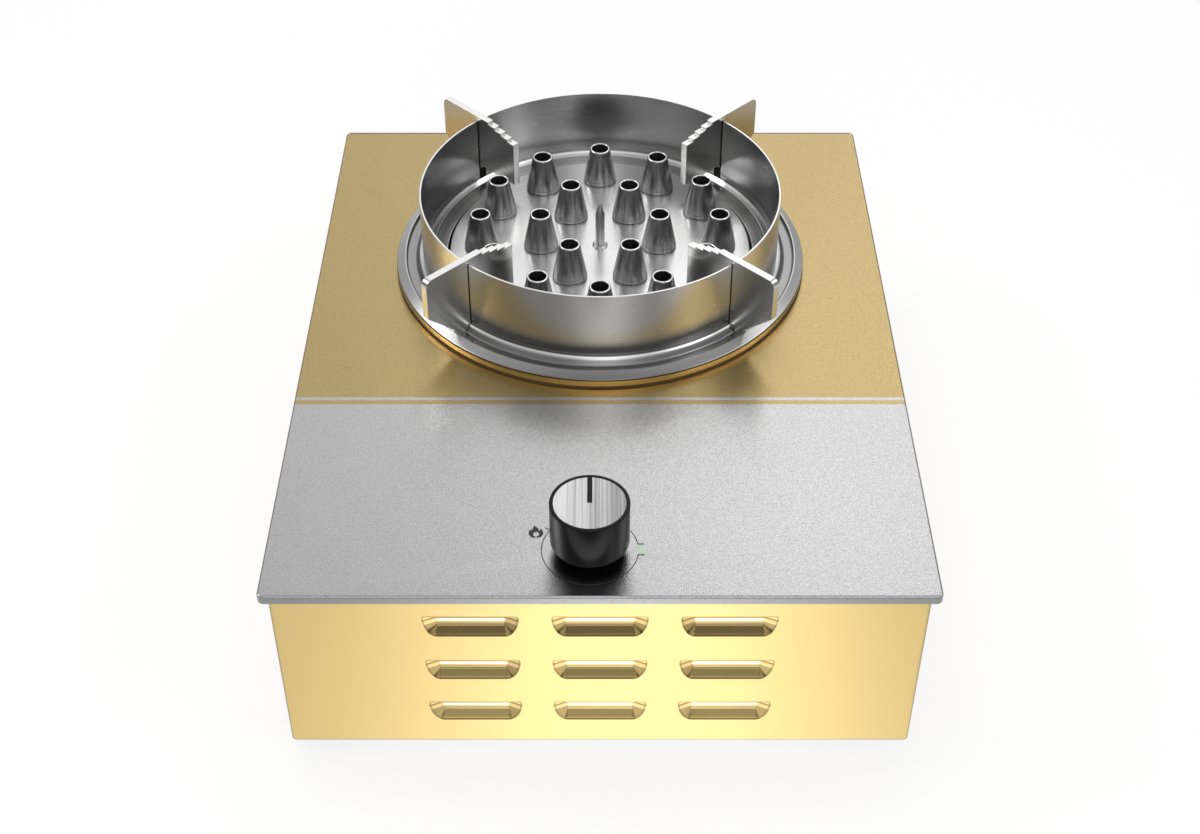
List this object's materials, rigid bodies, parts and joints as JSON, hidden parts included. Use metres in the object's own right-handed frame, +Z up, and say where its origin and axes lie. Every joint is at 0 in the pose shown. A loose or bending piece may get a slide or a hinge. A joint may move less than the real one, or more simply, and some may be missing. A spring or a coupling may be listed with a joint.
{
  "type": "table-top wok range",
  "caption": "Table-top gas wok range: two-tone satin plate on a gold louvred housing, jet burner in a drip tray, wok ring with stepped arms, and one knob.",
  "frame": {"origin": "on the surface it stands on, under the middle of its outline", "axes": "+X to the right, +Y to the rear, +Z up; the knob is at the front"},
  "size_m": [0.4, 0.517, 0.211],
  "materials": {
    "plate_satin": "satin bead-blasted steel, silver in front and gold behind",
    "gold_sheet": "polished gold-tone sheet",
    "base_sheet": "zinc-plated sheet",
    "rubber": "matt",
    "screw_steel": "zinc plated",
    "disc_steel": "brushed",
    "pan_steel": "dull",
    "nozzle_steel": "turned, dark with bright lips",
    "pin_steel": "polished",
    "ceramic": "unglazed white",
    "cast_tube": "cast",
    "brass": "turned",
    "tray_steel": "satin",
    "gasket": "matt",
    "ring_steel": "polished outside, satin inside",
    "arm_steel": "satin with bright cut edges",
    "knob_black": "gloss",
    "knob_silver": "brushed in straight lines",
    "dark_plastic": "moulded",
    "red_plastic": "moulded",
    "cell_wrap": "printed wrap, no words",
    "lead_red": "silicone",
    "lead_white": "silicone",
    "lead_black": "silicone"
  },
  "bodies": {
    "range": {"top_plate": "plate_satin", "housing_shell": "gold_sheet", "rear_panel": "gold_sheet", "base_plate": "base_sheet", "foot_front_left": "rubber", "foot_front_right": "rubber", "foot_rear_left": "rubber", "foot_rear_right": "rubber", "foot_screws": "screw_steel", "foot_nuts": "screw_steel", "case_screws": "screw_steel", "burner_cap": "disc_steel", "burner_pan": "pan_steel", "outer_nozzles": "nozzle_steel", "inner_nozzles": "nozzle_steel", "ignition_pin": "pin_steel", "pin_collar": "pin_steel", "pin_insulator": "ceramic", "pan_bracket_left": "base_sheet", "pan_bracket_right": "base_sheet", "bracket_screws": "screw_steel", "mixing_tube": "cast_tube", "tube_bracket": "base_sheet", "injector": "brass", "valve_body": "brass", "valve_bonnet": "brass", "bonnet_screws": "screw_steel", "valve_bracket": "base_sheet", "stem_spring": "screw_steel", "stem_bush": "rubber", "ignition_switch": "dark_plastic", "pulse_igniter": "dark_plastic", "battery_box": "dark_plastic", "battery_cell": "cell_wrap", "ignition_lead": "lead_red", "switch_lead": "lead_white", "battery_lead": "lead_black", "gas_pipe": "pin_steel", "pipe_nuts": "brass", "inlet_connector": "brass", "inlet_nut": "brass"},
    "tray": {"drip_tray": "tray_steel", "tray_gasket": "gasket"},
    "wok_support": {"wok_ring": "ring_steel", "wok_arm_front_left": "arm_steel", "wok_arm_front_right": "arm_steel", "wok_arm_rear_left": "arm_steel", "wok_arm_rear_right": "arm_steel"},
    "press": {"thrust_washer": "screw_steel", "switch_button": "red_plastic"},
    "knob": {"knob_body": "knob_black", "knob_cap": "knob_silver", "knob_pointer": "knob_black", "valve_stem": "screw_steel"},
    "plug": {"valve_plug": "brass"},
    "shutter": {"air_shutter": "brass"},
    "battery_door": {"battery_lid": "dark_plastic"}
  },
  "joints": [
    {"name": "tray_lift", "type": "slide", "parent": "range", "child": "tray", "axis": [0, 0, 1], "range_m": [0, 0.03]},
    {"name": "ring_lift", "type": "slide", "parent": "tray", "child": "wok_support", "axis": [0, 0, 1], "range_m": [0, 0.07]},
    {"name": "knob_press", "type": "slide", "parent": "range", "child": "press", "axis": [0, 0, -1], "range_m": [0, 0.003], "stiffness_N_per_m": 600, "springref_m": -0.005, "deforming": ["stem_spring"]},
    {"name": "knob_turn", "type": "hinge", "parent": "press", "child": "knob", "pos_m": [-0.006, -0.21985, 0.146], "axis": [0, 0, 1], "range_deg": [0, 270]},
    {"name": "plug_turn", "type": "hinge", "parent": "range", "child": "plug", "pos_m": [-0.006, -0.21985, 0.116], "axis": [0, 0, 1], "range_deg": [0, 270]},
    {"name": "shutter_turn", "type": "hinge", "parent": "range", "child": "shutter", "pos_m": [-0.006, -0.18685, 0.116], "axis": [0, 1, 0], "range_deg": [0, 45]},
    {"name": "lid_swing", "type": "hinge", "parent": "range", "child": "battery_door", "pos_m": [-0.118, 0.234, 0.0353], "axis": [-1, 0, 0], "range_deg": [0, 90]}
  ],
  "couplings": [
    {"joint": "plug_turn", "follows": "knob_turn", "ratio": 1}
  ]
}
